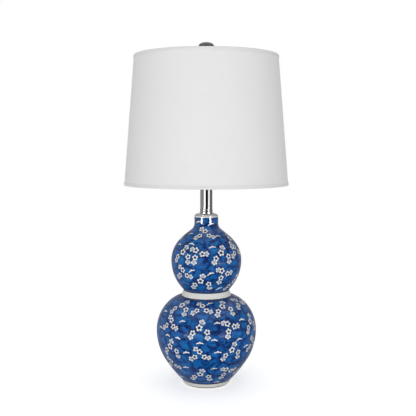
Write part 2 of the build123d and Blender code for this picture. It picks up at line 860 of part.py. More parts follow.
with BuildPart() as shade_spider:
    ring(hub_base, hub_thickness, hub_radius, stud_radius + hub_hole_clearance)
    edge_ring(top_ring_height)
    with PolarLocations(0, arm_count, start_angle=arm_first_angle):
        add(spider_arm.part)
save(shade_spider, "shade_spider")

with BuildPart() as bottom_ring:
    edge_ring(bottom_ring_height)
save(bottom_ring, "bottom_ring")

with BuildPart() as shade_liner:
    shade_wall(fabric_thickness, liner_thickness)
save(shade_liner, "shade_liner")

with BuildPart() as shade_fabric:
    shade_wall(0, fabric_thickness)
save(shade_fabric, "shade_fabric")

with BuildPart() as bottom_trim:
    edge_tape(shade_base, 1)
save(bottom_trim, "bottom_trim")

with BuildPart() as top_trim:
    edge_tape(shade_top, -1)
    # the tape is notched where the arms reach the ring
    with BuildSketch(Plane.XY.offset(shade_top - 2 * trim_inner_width)):
        notch_width = 2 * (arm_wire_radius + arm_notch_clearance)
        with PolarLocations(wire_ring_radius(shade_top), arm_count, start_angle=arm_first_angle):
            Rectangle(4 * ring_wire_radius, notch_width, align=(Align.MAX, Align.CENTER))
    extrude(amount=2 * trim_inner_width - ring_seat, mode=Mode.SUBTRACT)
save(top_trim, "top_trim")

# ---------------------------------------------------------------- finial
with BuildPart() as finial_insert:
    neck_foot = finial_base + finial_seat_height
    ring(finial_base, finial_seat_height, finial_seat_radius)
    ring(neck_foot, finial_neck_height, finial_neck_radius)
    ring(knob_foot_height, finial_spigot_height, finial_spigot_radius)
    with BuildSketch(Plane.XY.offset(finial_base)):
        Circle(stud_radius + finial_bore_clearance)
    extrude(amount=finial_bore_depth, mode=Mode.SUBTRACT)
save(finial_insert, "finial_insert")

with BuildPart() as finial_knob:
    # a flattened ball, cut off at its foot and bored over the insert's spigot
    foot_share = (1 - (knob_foot_radius / knob_ball_radius) ** 2) ** 0.5
    knob_middle = knob_foot_height + knob_half_height * foot_share
    knob_bore = finial_spigot_radius + running_clearance
    knob_bore_top = knob_foot_height + finial_spigot_height + running_clearance
    with BuildSketch(Plane.XZ):
        with BuildLine():
            underside = Spline(
                (knob_ball_radius, knob_middle),
                (knob_foot_radius, knob_foot_height),
                tangents=((0, -1), (-1, knob_foot_slope)),
            )
            dome = Spline(
                (knob_ball_radius, knob_middle),
                (0, knob_middle + knob_half_height),
                tangents=((0, 1), (-1, 0)),
            )
            Polyline(
                dome @ 1,
                (0, knob_bore_top),
                (knob_bore, knob_bore_top),
                (knob_bore, knob_foot_height),
                underside @ 1,
            )
        make_face()
    revolve(axis=Axis.Z)
save(finial_knob, "finial_knob")
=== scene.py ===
"""Double gourd table lamp: the finish of every piece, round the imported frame.

Metres, with +Z up and the lamp's axis at the origin. The lamp's named sizes are in millimetres, the
studio's in metres. The camera looks along +Y. Turns are angles round the axis in degrees, 0 at the
front and positive towards +X.
"""

import json
import random
from math import atan2, ceil, cos, degrees, hypot, pi, radians, sin

import bmesh
import bpy
from mathutils import Matrix, Vector
from mathutils.bvhtree import BVHTree
from mathutils.kdtree import KDTree

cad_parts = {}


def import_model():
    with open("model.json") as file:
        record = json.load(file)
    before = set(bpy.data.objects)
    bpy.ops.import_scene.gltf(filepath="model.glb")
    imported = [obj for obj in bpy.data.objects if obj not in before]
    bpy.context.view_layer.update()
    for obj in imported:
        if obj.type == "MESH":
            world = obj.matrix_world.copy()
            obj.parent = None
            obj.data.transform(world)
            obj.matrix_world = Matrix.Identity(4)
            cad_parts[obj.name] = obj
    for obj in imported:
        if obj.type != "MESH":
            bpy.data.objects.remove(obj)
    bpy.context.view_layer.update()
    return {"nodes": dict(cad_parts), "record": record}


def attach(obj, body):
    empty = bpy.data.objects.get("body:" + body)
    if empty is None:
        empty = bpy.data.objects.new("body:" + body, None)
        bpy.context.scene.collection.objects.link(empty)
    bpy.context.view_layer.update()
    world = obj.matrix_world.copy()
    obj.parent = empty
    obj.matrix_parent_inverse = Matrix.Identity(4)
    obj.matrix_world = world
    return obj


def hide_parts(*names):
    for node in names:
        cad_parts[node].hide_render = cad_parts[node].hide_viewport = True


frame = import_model()
MM = 0.001

# -------- sizes of the turned pieces
# Ceramic body: (radius, height) of each circle that its outline passes through, from the foot up,
# then its neck, bore, foot and outlet. From WHITE_LIP up the glaze is white.
FOOT_BASE = (47.5, 1.5)
FOOT_EDGE = (52.2, 9.5)
BELLY = (84.4, 50.4)
LOWER_BULB = (101.7, 109.9)
SHOULDER = (81.2, 162.5)
CROWN = (49.0, 181.2)
WAIST = (45.4, 192.0)
UPPER_BULB = (71.2, 252.7)
UPPER_SHOULDER = (56.9, 291.7)
COLLAR = (40.6, 307.4)
NECK_RADIUS = 24.3
WHITE_LIP = 341.1
LIP_HEIGHT = 344.0
COLLAR_SWEEP = 16.0
BORE_RADIUS = 19.8
ROD_HOLE_RADIUS = 5.05
FLOOR_UNDERSIDE = 14.0
FLOOR_TOP = 21.0
RECESS_RADIUS = 40.5
BODY_WALL = 6.0
BAND_PROUD = 1.4
BAND_ROUND = 0.8
FOOT_ROUND = 1.8
LIP_ROUND = 1.2
OUTLET_HEIGHT = 7.6
OUTLET_SEAT_RADIUS = 5.6
OUTLET_SEAT_DEPTH = 50.8
OUTLET_RADIUS = 4.2

# Shade: its edges as (radius, height), and the folded tape along them
SHADE_LOW = (164.6, 406.1)
SHADE_HIGH = (143.4, 662.1)
FABRIC_THICKNESS = 0.5
WALL_STEP = 4.0
TAPE_THICKNESS = 0.5
TAPE_OUTSIDE = 6.5
TAPE_INSIDE = 5.0
TAPE_POCKET = 4.8
SEAM_LAP = 11.0
SEAM_PROUD = 0.45
SEAM_SUNK = 0.1

# Bulb: where its glass narrows to the cap
BULB_NECK = 517.0

# Sides of the turned pieces, all the way round
BODY_SIDES = 240
FITTING_SIDES = 128
SHADE_SIDES = 192


# -------- turned meshes
class Outline:
    """Lines of vertices in the XZ plane, laid run by run, that are then spun round the axis."""

    def __init__(self):
        self.mesh = bmesh.new()
        self.last = None
        self.heading = Vector((0, 0, 1))

    @staticmethod
    def place(point):
        return Vector((point[0] * MM, 0, point[1] * MM))

    def start(self, point, heading=(0, 0, 1)):
        self.last = self.mesh.verts.new(self.place(point))
        self.heading = Vector(heading).normalized()
        return self

    def line(self, end, step=None):
        """Run straight to a point, in equal steps."""
        run = self.place(end) - self.last.co
        steps = max(1, ceil(run.length / (step * MM))) if step else 1
        for _ in range(steps):
            made = bmesh.ops.extrude_vert_indiv(self.mesh, verts=[self.last])
            self.last = made["verts"][0]
            bmesh.ops.translate(self.mesh, verts=[self.last], vec=run / steps)
        self.heading = run.normalized()
        return self

    def arc(self, end, step, heading=None):
        """Run to a point on the arc that leaves along the heading."""
        ahead = Vector(heading).normalized() if heading else self.heading
        chord = self.place(end) - self.last.co
        side = Vector((-ahead.z, 0, ahead.x))
        turn = 2 * atan2(chord.dot(side), chord.dot(ahead))
        radius = chord.length_squared / (2 * chord.dot(side))
        made = bmesh.ops.spin(
            self.mesh,
            geom=[self.last],
            cent=self.last.co + side * radius,
            axis=(0, -1, 0),
            angle=turn,
            steps=max(2, ceil(abs(turn * radius) / (step * MM))),
        )
        self.last = [item for item in made["geom_last"] if isinstance(item, bmesh.types.BMVert)][0]
        self.heading = Matrix.Rotation(turn, 3, (0, -1, 0)) @ ahead
        return self

    def spin(self, name, steps, sharp=35, turns=(0, 360)):
        """Turn the outline round the axis into a finished piece."""
        mesh = self.mesh
        start, end = turns
        full = end - start == 360
        bmesh.ops.remove_doubles(mesh, verts=mesh.verts[:], dist=1e-6)
        facing = Matrix.Rotation(radians(start - 90), 3, "Z")
        bmesh.ops.rotate(mesh, verts=mesh.verts[:], cent=(0, 0, 0), matrix=facing)
        bmesh.ops.spin(
            mesh,
            geom=mesh.verts[:] + mesh.edges[:],
            cent=(0, 0, 0),
            axis=(0, 0, 1),
            angle=radians(end - start),
            steps=steps,
            use_merge=full,
        )
        bmesh.ops.remove_doubles(mesh, verts=mesh.verts[:], dist=1e-6)
        if not full:
            bmesh.ops.holes_fill(mesh, edges=[edge for edge in mesh.edges if edge.is_boundary])
        bmesh.ops.recalc_face_normals(mesh, faces=mesh.faces[:])
        return finish_mesh(mesh, name, sharp)


def finish_mesh(mesh, name, sharp=35):
    """Shade a bmesh smoothly between its sharp edges and link it as an object."""
    for face in mesh.faces:
        face.smooth = True
    for edge in mesh.edges:
        edge.smooth = edge.calc_face_angle(0) < radians(sharp)
    data = bpy.data.meshes.new(name)
    mesh.to_mesh(data)
    mesh.free()
    made = bpy.data.objects.new(name, data)
    bpy.context.scene.collection.objects.link(made)
    return made


def unroll(piece, radius):
    """Give a turned piece a UV map in metres: round the axis, and up its wall."""
    layer = piece.data.uv_layers.new(name="Weave")
    for face in piece.data.polygons:
        middle = atan2(face.center.x, -face.center.y)
        for corner in face.loop_indices:
            place = piece.data.vertices[piece.data.loops[corner].vertex_index].co
            turn = atan2(place.x, -place.y)
            turn += 2 * pi * round((middle - turn) / (2 * pi))
            layer.data[corner].uv = (turn * radius * MM, place.z)


def cut_away(piece, cutter):
    """Take a closed cutter out of a piece, and delete the cutter."""
    change = piece.modifiers.new("cut", "BOOLEAN")
    change.operation = "DIFFERENCE"
    change.solver = "MANIFOLD"
    change.object = cutter
    evaluated = piece.evaluated_get(bpy.context.evaluated_depsgraph_get())
    cut = bpy.data.meshes.new_from_object(evaluated)
    piece.modifiers.clear()
    piece.data = cut
    bpy.data.objects.remove(cutter)


def round_edges(piece, width, segments, angle=30):
    """Round every edge that turns by more than an angle in degrees."""
    change = piece.modifiers.new("round_edges", "BEVEL")
    change.width = width * MM
    change.segments = segments
    change.limit_method = "ANGLE"
    change.angle_limit = radians(angle)


def dress(piece, slot):
    """Give a piece the finish of its slot, and no other."""
    piece.data.materials.clear()
    piece.data.materials.append(FINISHES[slot])


def belongs(piece, body, slot, *replaced):
    """Dress a new piece, let it ride on its body, and stand for the CAD nodes it replaces."""
    dress(piece, slot)
    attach(piece, body)
    if replaced:
        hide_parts(*replaced)
    return piece


# -------- ceramic body
def facing(turn):
    """The level direction that a turn round the axis looks in."""
    return Vector((sin(radians(turn)), -cos(radians(turn)), 0))


def inward(point, heading):
    """The point one wall's thickness inside an outline that runs upwards."""
    return (point[0] - BODY_WALL * heading.z, point[1] + BODY_WALL * heading.x)


def gourd():
    """The glazed body: outside, lip, bore, cavity and foot in one closed outline."""
    # steps along the outline: outside, inside, and on small rounds
    fine, coarse, tiny = 1.9, 9.0, 0.35
    outline = Outline()

    # upper bulb, its crown, the neck and the lip
    outline.start(UPPER_BULB, (0, 0, -1)).arc(WAIST, fine)
    waist_way = -outline.heading
    outline.start(UPPER_BULB).arc(UPPER_SHOULDER, fine)
    upper_way = outline.heading.copy()
    outline.arc(COLLAR, fine)
    collar_way = outline.heading.copy()
    slope = collar_way.z / collar_way.x
    corner = (NECK_RADIUS, COLLAR[1] + slope * (NECK_RADIUS - COLLAR[0]))
    turn = collar_way.angle(Vector((0, 0, 1)))
    reach = COLLAR_SWEEP * (1 - cos(turn)) / sin(turn)
    outline.line((corner[0] - collar_way.x * reach, corner[1] - collar_way.z * reach), fine)
    outline.arc((corner[0], corner[1] + reach), fine)
    outline.line((NECK_RADIUS, LIP_HEIGHT - LIP_ROUND), fine)
    outline.arc((NECK_RADIUS - LIP_ROUND, LIP_HEIGHT), tiny, (0, 0, 1))
    outline.line((BORE_RADIUS + LIP_ROUND, LIP_HEIGHT))
    outline.arc((BORE_RADIUS, LIP_HEIGHT - LIP_ROUND), tiny, (-1, 0, 0))
    inner_collar = inward(COLLAR, collar_way)
    outline.line((BORE_RADIUS, inner_collar[1] + BODY_WALL), coarse)
    outline.line(inner_collar, coarse)

    # inside of both bulbs
    inner_waist = (WAIST[0] - BODY_WALL, WAIST[1])
    outline.start((UPPER_BULB[0] - BODY_WALL, UPPER_BULB[1]))
    outline.arc(inward(UPPER_SHOULDER, upper_way), coarse).arc(inner_collar, coarse)
    outline.start((UPPER_BULB[0] - BODY_WALL, UPPER_BULB[1]), (0, 0, -1))
    outline.arc(inward(WAIST, waist_way), coarse).line(inner_waist)

    # lower bulb, down to its foot ring
    outline.start(LOWER_BULB).arc(SHOULDER, fine)
    shoulder_way = outline.heading.copy()
    outline.arc(CROWN, fine)
    crown_way = outline.heading.copy()
    outline.start(LOWER_BULB, (0, 0, -1)).arc(BELLY, fine)
    belly_way = -outline.heading
    outline.arc(FOOT_EDGE, fine)
    foot_way = -outline.heading
    side = Vector((FOOT_BASE[0] - FOOT_EDGE[0], 0, FOOT_BASE[1] - FOOT_EDGE[1])).normalized()
    turn = side.angle(Vector((-1, 0, 0)))
    reach = FOOT_ROUND * (1 - cos(turn)) / sin(turn)
    outline.line((FOOT_BASE[0] - side.x * reach, FOOT_BASE[1] - side.z * reach), fine)
    outline.arc((FOOT_BASE[0] - reach, FOOT_BASE[1]), tiny)
    outline.line((RECESS_RADIUS, FOOT_BASE[1])).line((RECESS_RADIUS, FLOOR_UNDERSIDE), coarse)
    outline.line((ROD_HOLE_RADIUS, FLOOR_UNDERSIDE), coarse).line((ROD_HOLE_RADIUS, FLOOR_TOP))
    inner_foot = inward(FOOT_EDGE, foot_way)
    outline.line((inner_foot[0], FLOOR_TOP), coarse)
    outline.line(inward(BELLY, belly_way), coarse)
    outline.start((LOWER_BULB[0] - BODY_WALL, LOWER_BULB[1]), (0, 0, -1))
    outline.arc(inward(BELLY, belly_way), coarse)
    outline.start((LOWER_BULB[0] - BODY_WALL, LOWER_BULB[1]))
    outline.arc(inward(SHOULDER, shoulder_way), coarse)
    outline.arc(inward(CROWN, crown_way), coarse).line(inner_waist, coarse)

    # raised band round the waist, thicker below than above
    top_edge = (WAIST[0] + BAND_PROUD, WAIST[1] - BAND_ROUND)
    low_edge = (CROWN[0] + BAND_PROUD, CROWN[1] + BAND_ROUND)
    outline.start(WAIST).line((top_edge[0] - BAND_ROUND, WAIST[1]))
    outline.arc(top_edge, tiny, (1, 0, 0)).line(low_edge, fine)
    outline.arc((low_edge[0] - BAND_ROUND, CROWN[1] - BAND_ROUND / 4), tiny).line(CROWN)

    made = outline.spin("gourd_glazed", BODY_SIDES)
    cut_away(made, outlet_cutter(OUTLET_SEAT_RADIUS, OUTLET_SEAT_DEPTH))
    cut_away(made, outlet_cutter(OUTLET_RADIUS, RECESS_RADIUS - BODY_WALL))
    return belongs(made, "root", "glaze", "gourd_body")


def outlet_cutter(radius, depth):
    """A bar along +Y that starts at a depth inside the foot ring and runs out of its back."""
    bar = bmesh.new()
    length = FOOT_EDGE[0] + BODY_WALL - depth
    bmesh.ops.create_cone(
        bar, cap_ends=True, segments=48, radius1=radius * MM, radius2=radius * MM, depth=length * MM,
        matrix=Matrix.Translation((0, (depth + length / 2) * MM, OUTLET_HEIGHT * MM))
        @ Matrix.Rotation(radians(-90), 4, "X"),
    )
    return finish_mesh(bar, "outlet_cutter")


# -------- metal fittings on the neck
CAP_RADIUS = 23.3
CAP_EDGE = 0.9
CAP_WALL = 0.9
CAP_SHOULDER = (13.8, 348.0)
DOME_HEADING = (-0.8, 0, 0.6)
RING_FOOT = 13.1
RING_CHAMFER = 0.9
RING_GROOVE = (12.1, 352.6)
RING_BEAD = (12.8, 354.9)
RING_FLAT = 1.4
RING_ROUND = 0.35
RING_TOP = 12.2
TUBE_BASE = 357.0


def spun_cap():
    """The low spun dome that closes the ceramic neck."""
    outline = Outline()
    # steps along the dome, on flats and inside the wall
    dome, flat, inside = 0.7, 3.0, 2.0
    edge_top = LIP_HEIGHT + CAP_EDGE
    outline.start((CAP_RADIUS, LIP_HEIGHT)).line((CAP_RADIUS, edge_top))
    outline.arc(CAP_SHOULDER, dome, DOME_HEADING).line((ROD_HOLE_RADIUS, CAP_SHOULDER[1]), flat)
    outline.line((ROD_HOLE_RADIUS, CAP_SHOULDER[1] - CAP_WALL))
    outline.line((CAP_SHOULDER[0], CAP_SHOULDER[1] - CAP_WALL), flat)
    outline.line((CAP_RADIUS - CAP_WALL, edge_top - CAP_WALL / 2), inside)
    outline.line((CAP_RADIUS - CAP_WALL, LIP_HEIGHT)).line((CAP_RADIUS, LIP_HEIGHT))
    return belongs(outline.spin("spun_cap", FITTING_SIDES), "root", "satin_nickel", "vase_cap")


def beaded_ring():
    """The turned ring between cap and tube: a straight foot, a groove and one flat bead."""
    step = 3.0
    bead, middle = RING_BEAD
    outline = Outline()
    outline.start((ROD_HOLE_RADIUS, CAP_SHOULDER[1])).line((RING_FOOT, CAP_SHOULDER[1]), step)
    outline.line((RING_FOOT, RING_GROOVE[1] - RING_CHAMFER)).line(RING_GROOVE)
    outline.line((bead, middle - RING_FLAT)).line((bead, middle + RING_FLAT))
    outline.line((RING_TOP, TUBE_BASE)).line((ROD_HOLE_RADIUS, TUBE_BASE), step)
    outline.line((ROD_HOLE_RADIUS, CAP_SHOULDER[1]), step)
    made = outline.spin("beaded_ring", FITTING_SIDES)
    round_edges(made, RING_ROUND, 3, 25)
    return belongs(made, "root", "polished_nickel", "lower_check_ring")


# -------- painted pattern on the body
# Seen from the front: sprays as (turn, height in mm, layout), and single strokes as (turn, height)
FRONT_SPRAYS = (
    (-6, 310, "wye"), (70, 299, "vee"),
    (-44, 276, "vee"), (-15, 274, "trio"), (26, 276, "vee"), (63, 276, "wye"),
    (-42, 233, "wye"), (-10, 221, "vee"), (29, 233, "trio"), (63, 214, "vee"),
    (-42, 171, "vee"), (-7, 168, "wye"), (26, 171, "vee"), (65, 171, "wye"),
    (-47, 136, "wye"), (-8, 136, "vee"), (28, 134, "trio"), (64, 136, "vee"),
    (-45, 93, "vee"), (-8, 82, "wye"), (30, 90, "vee"), (66, 90, "wye"),
    (-52, 52, "wye"), (-9, 38, "vee"), (31, 40, "trio"), (68, 44, "vee"),
)
FRONT_STROKES = (
    (-42, 332), (23, 328), (-54, 309), (32, 306), (-30, 292), (-64, 288), (11, 287), (-24, 241),
    (7, 236), (27, 203), (6, 176), (-68, 154), (-30, 145), (13, 144), (48, 144), (-64, 124),
    (-48, 114), (-33, 113), (-7, 107), (9, 113), (39, 109), (52, 91), (-23, 86), (13, 88),
    (-28, 52), (10, 52), (-50, 22), (22, 15),
)
# Round the back the rows go on: (height in mm, how many to a full turn)
SPRAY_ROWS = ((308, 4), (276, 10), (227, 10), (171, 10), (136, 10), (89, 10), (42, 10))
STROKE_ROWS = (
    (330, 6), (307, 6), (290, 8), (239, 9), (203, 9),
    (150, 12), (112, 14), (87, 10), (52, 9), (18, 8),
)
BACK_FROM, BACK_TO = 84, 276
FIRST_SPRAY = -8
# How far each may stray from its row: (degrees, mm)
SPRAY_STRAY = (4, 6)
STROKE_STRAY = (9, 5)
STROKE_CLEARANCE = 24
GIRTH_RADIUS = 80
ROWS_SEED, MOTIF_SEED = 7, 11

# One spray: (kind, millimetres to the right, millimetres up, turn in degrees, size)
FLOWER, BUD, STROKE = 0, 1, 2
LAYOUTS = {
    "vee": (
        (FLOWER, 0, 0, 0, 1.0), (BUD, 5, 10, 20, 0.95),
        (FLOWER, -12.5, -10.5, 25, 0.84), (BUD, -17, -18, 200, 0.85),
        (FLOWER, 16, -8, -20, 0.86), (BUD, 17.5, -18, 180, 0.88),
    ),
    "wye": (
        (FLOWER, 1, 8, 15, 0.86), (BUD, -6, 13, -45, 0.85),
        (FLOWER, -9, -4, -25, 0.82), (BUD, -16, -9, 235, 0.85),
        (FLOWER, 10, -3, 30, 0.84), (BUD, 18, -5, 105, 0.8),
    ),
    "trio": (
        (FLOWER, -4, 8, 20, 0.92), (BUD, -12, 10, -60, 0.8),
        (FLOWER, 10, 1, -15, 0.86), (BUD, 18.5, 2, 85, 0.8),
        (FLOWER, -4, -7, 0, 0.86), (BUD, -6, -16, 190, 0.9),
    ),
}
MOTIF_RADIUS = 7.2
MOTIF_SWING = 8
STROKE_TILT = (-6, 24)
STROKE_SIZE = (0.86, 1.06)


def apart(one, other):
    """Distance in millimetres between two (turn, height) places on a body of middling girth."""
    across = ((one[0] - other[0] + 180) % 360 - 180) * radians(GIRTH_RADIUS)
    return hypot(across, one[1] - other[1])


def pattern_places():
    """Every spray and every single stroke, as seen in front and as the rows go on behind."""
    draw = random.Random(ROWS_SEED)

    def strayed(turn, height, stray):
        return turn + draw.uniform(-stray[0], stray[0]), height + draw.uniform(-stray[1], stray[1])

    sprays = list(FRONT_SPRAYS)
    for height, count in SPRAY_ROWS:
        for step in range(count):
            place = strayed(FIRST_SPRAY + 360 * step / count, height, SPRAY_STRAY)
            layout = draw.choice(list(LAYOUTS))
            if BACK_FROM < place[0] < BACK_TO:
                sprays.append((*place, layout))
    strokes = list(FRONT_STROKES)
    for height, count in STROKE_ROWS:
        for step in range(count):
            place = strayed(360 * (step + 0.5) / count, height, STROKE_STRAY)
            clear = all(apart(place, spray) > STROKE_CLEARANCE for spray in sprays)
            if BACK_FROM < place[0] < BACK_TO and clear:
                strokes.append(place)
    return sprays, strokes


def motifs_on(piece):
    """Set each flower, bud and stroke on the body's surface: its place, its two axes and its kind."""
    draw = random.Random(MOTIF_SEED)
    mesh = bmesh.new()
    mesh.from_mesh(piece.data)
    tree = BVHTree.FromBMesh(mesh)
    found = []

    def settle(point):
        place, normal = tree.find_nearest(point)[:2]
        across = Vector((0, 0, 1)).cross(normal).normalized()
        return place, across, normal.cross(across)

    def add(point, kind, turn, size):
        place, across, up = settle(point)
        turn = radians(turn + draw.uniform(-MOTIF_SWING, MOTIF_SWING))
        right = across * cos(turn) + up * sin(turn)
        ahead = up * cos(turn) - across * sin(turn)
        found.append((place, right, ahead, kind + draw.uniform(0.1, 0.9), size * MOTIF_RADIUS * MM))

    def outside(turn, height):
        start = facing(turn) * 2 * LOWER_BULB[0] * MM + Vector((0, 0, height * MM))
        return tree.ray_cast(start, -facing(turn))[0]

    sprays, strokes = pattern_places()
    for turn, height, layout in sprays:
        centre, across, up = settle(outside(turn, height))
        for kind, right, above, spin, size in LAYOUTS[layout]:
            add(centre + across * right * MM + up * above * MM, kind, -spin, size)
    for turn, height in strokes:
        add(outside(turn, height), STROKE, draw.uniform(*STROKE_TILT), draw.uniform(*STROKE_SIZE))
    mesh.free()
    return found


def paint_places(piece):
    """Tell every face where it lies in its nearest and its next motif.

    Each corner keeps (across, up, kind + shade), across and up in units of the motif's radius.
    """
    motifs = motifs_on(piece)
    tree = KDTree(len(motifs))
    for number, motif in enumerate(motifs):
        tree.insert(motif[0], number)
    tree.balance()
    data = piece.data
    layers = [data.attributes.new(name, "FLOAT_VECTOR", "CORNER") for name in ("motif_near", "motif_next")]
    values = [[0.0] * (3 * len(data.loops)) for _ in layers]
    for face in data.polygons:
        for layer_values, (_, number, _) in zip(values, tree.find_n(face.center, 2)):
            place, right, ahead, kind, size = motifs[number]
            for corner in face.loop_indices:
                way = data.vertices[data.loops[corner].vertex_index].co - place
                layer_values[3 * corner] = way.dot(right) / size
                layer_values[3 * corner + 1] = way.dot(ahead) / size
                layer_values[3 * corner + 2] = kind
    for layer, layer_values in zip(layers, values):
        layer.data.foreach_set("vector", layer_values)


# -------- shader building
def operator(operation, reflected=False):
    """A method of Value that adds one Math node."""
    def worked(self, other):
        numbers = (other, self) if reflected else (self, other)
        return self.finish.call(operation, *numbers)
    return worked


class Value:
    """A shader's number that can be used in Python expressions."""

    def __init__(self, finish, socket):
        self.finish = finish
        self.socket = socket

    __add__ = __radd__ = operator("ADD")
    __mul__ = __rmul__ = operator("MULTIPLY")
    __sub__ = operator("SUBTRACT")
    __rsub__ = operator("SUBTRACT", reflected=True)
    __pow__ = operator("POWER")
    __gt__ = operator("GREATER_THAN")
    __lt__ = operator("LESS_THAN")


class Finish:
    """One material, or one world, built from nodes."""

    def __init__(self, name, kind="materials"):
        self.owner = getattr(bpy.data, kind).new(name)
        self.owner.use_nodes = True
        self.tree = self.owner.node_tree
        self.tree.nodes.clear()

    def node(self, kind, settings=None, inputs=None, output=0):
        made = self.tree.nodes.new("ShaderNode" + kind)
        for name, value in (settings or {}).items():
            setattr(made, name, value)
        for name, value in (inputs or {}).items():
            if isinstance(value, Value):
                self.tree.links.new(value.socket, made.inputs[name])
            else:
                made.inputs[name].default_value = value
        return Value(self, made.outputs[output])

    # places
    def place(self):
        """Object coordinates in millimetres."""
        metres = self.node("TexCoord", output="Object")
        return self.scaled(metres, (1000, 1000, 1000))

    def scaled(self, vector, factors):
        return self.node("VectorMath", {"operation": "MULTIPLY"}, {0: vector, 1: factors})

    def moved(self, vector, offset):
        return self.node("VectorMath", {"operation": "ADD"}, {0: vector, 1: offset})

    def parts(self, vector):
        split = self.node("SeparateXYZ", inputs={0: vector}).socket.node
        return [Value(self, socket) for socket in split.outputs]

    def joined(self, x, y, z):
        return self.node("CombineXYZ", inputs={0: x, 1: y, 2: z})

    def around(self, place):
        """(turn in radians, distance from the axis, height) of a place."""
        x, y, z = self.parts(place)
        turn = self.node("Math", {"operation": "ARCTAN2"}, {0: x, 1: 0 - y})
        return turn, (x * x + y * y) ** 0.5, z

    # numbers
    def call(self, operation, *numbers):
        return self.node("Math", {"operation": operation}, dict(enumerate(numbers)))

    def smooth(self, value, low, high, start=0.0, end=1.0):
        """From start to end, softly, as the value goes from low to high."""
        numbers = {0: value, 1: low, 2: high, 3: start, 4: end}
        return self.node("MapRange", {"interpolation_type": "SMOOTHSTEP"}, numbers)

    def fading(self, value, low, high):
        """From 1 to 0, softly, as the value goes from low to high."""
        return self.smooth(value, low, high, 1.0, 0.0)

    def band(self, value, low, high, soft):
        """1 between two values, with soft edges."""
        return self.smooth(value, low - soft, low + soft) * self.fading(value, high - soft, high + soft)

    # textures
    def noise(self, place, size, detail=3.0, roughness=0.55, distortion=0.0):
        """Noise round 0.5 whose patches are about size wide, in the units of the place."""
        return self.node(
            "TexNoise",
            inputs={
                "Vector": place, "Scale": 1 / size, "Detail": detail,
                "Roughness": roughness, "Distortion": distortion,
            },
        )

    def warped(self, place, size, amount):
        """A place pushed about by noise."""
        numbers = {"Vector": place, "Scale": 1 / size, "Detail": 2.0}
        push = self.moved(self.node("TexNoise", inputs=numbers, output="Color"), (-0.5, -0.5, -0.5))
        return self.moved(place, self.scaled(push, (2 * amount,) * 3))

    def cells(self, place, size, feature="DISTANCE_TO_EDGE"):
        return self.node("TexVoronoi", {"feature": feature}, {"Vector": place, "Scale": 1 / size})

    # colours
    def mixed(self, factor, first, second):
        return self.node("Mix", {"data_type": "RGBA"}, {0: factor, 6: first, 7: second}, output=2)

    def bump(self, height, distance, strength=1.0):
        """A normal from a height in millimetres."""
        return self.node("Bump", inputs={"Height": height, "Distance": distance * MM, "Strength": strength})

    # ends
    def surface(self, inputs):
        """Close the material with one Principled shader."""
        return self.end(self.node("BsdfPrincipled", inputs=inputs))

    def end(self, shader, output="OutputMaterial"):
        out = self.tree.nodes.new("ShaderNode" + output)
        self.tree.links.new(shader.socket, out.inputs["Surface"])
        return self.owner


def colour(red, green, blue):
    """A colour as it is written for a screen, 0 to 255, as the shader's linear values."""
    def linear(part):
        part /= 255
        return part / 12.92 if part <= 0.04045 else ((part + 0.055) / 1.055) ** 2.4
    return (linear(red), linear(green), linear(blue), 1.0)


def dimmed(tone, share):
    """A colour brought down to a share of its light."""
    return tuple(part * share for part in tone[:3]) + (1.0,)


# -------- glaze
CREAM = colour(240, 239, 234)
THIN_CREAM = colour(188, 198, 214)
DULL_WHITE = colour(210, 211, 210)
SPECK = colour(150, 140, 120)
CLAY = colour(205, 196, 178)
DARK_CLAY = colour(186, 174, 152)
HEART_BLUE = colour(4, 50, 112)
BUD_BLUE = colour(74, 116, 166)
DEEP = colour(0, 52, 120)
COBALT = colour(2, 98, 172)
WASH = colour(22, 120, 192)
OUTLINE_BLUE = colour(0, 20, 82)

# Sizes in millimetres of what brush and kiln left in the paint, and of its navy lines
GRAIN = 4.5
MOTTLE = 11
CLOUD = 30
SWIRL = 13
SWIRL_PUSH = 8.0
BRUSH_CELL = 23
FINE_CELL = 12
BREAK = 9
WOBBLE = 2.6
FOOT_LINE = 3.4
WAIST_LINE = 2.6
LINE_GAP = 0.2

# A petal, in units of its motif's radius: its root, how far it reaches past that, how blunt it is
PETAL_ROOT = 0.56
PETAL_REACH = 0.42
PETAL_BLUNT = 0.8


def petal_edge(finish, x, y):
    """(distance from the middle, how near a petal's own line, where the petals end)."""
    far = (x * x + y * y) ** 0.5
    turn = finish.call("ARCTAN2", x, y)
    lobe = finish.call("ABSOLUTE", finish.call("COSINE", turn * 2.5))
    return far, lobe, PETAL_ROOT + PETAL_REACH * lobe ** PETAL_BLUNT


def flower_shape(finish, x, y):
    """(white, inner, dark) masks of an open five-petalled blossom."""
    far, lobe, edge = petal_edge(finish, x, y)
    white = finish.smooth(edge - far, -0.04, 0.08)
    split = finish.fading(lobe, 0.05, 0.35) * finish.smooth(far, 0.38, 0.56)
    inner = finish.fading(far, 0.35, 0.48)
    halo = finish.smooth(edge - far, -0.42, -0.05)
    return white * (1 - split * 0.7), inner, halo


def bud_shape(finish, x, y):
    """(white, inner, dark) masks of a half-open bud: an arch of petals, washed blue inside."""
    far, lobe, edge = petal_edge(finish, x, y)
    body = finish.call("MINIMUM", edge - far, y + 0.42)
    white = finish.smooth(body, -0.05, 0.07)
    rib = finish.smooth(lobe, 0.80, 0.97) * 0.5
    inner = finish.smooth(edge - far, 0.24, 0.38) * (1 - rib)
    halo = finish.smooth(body, -0.40, -0.05)
    return white, inner, halo


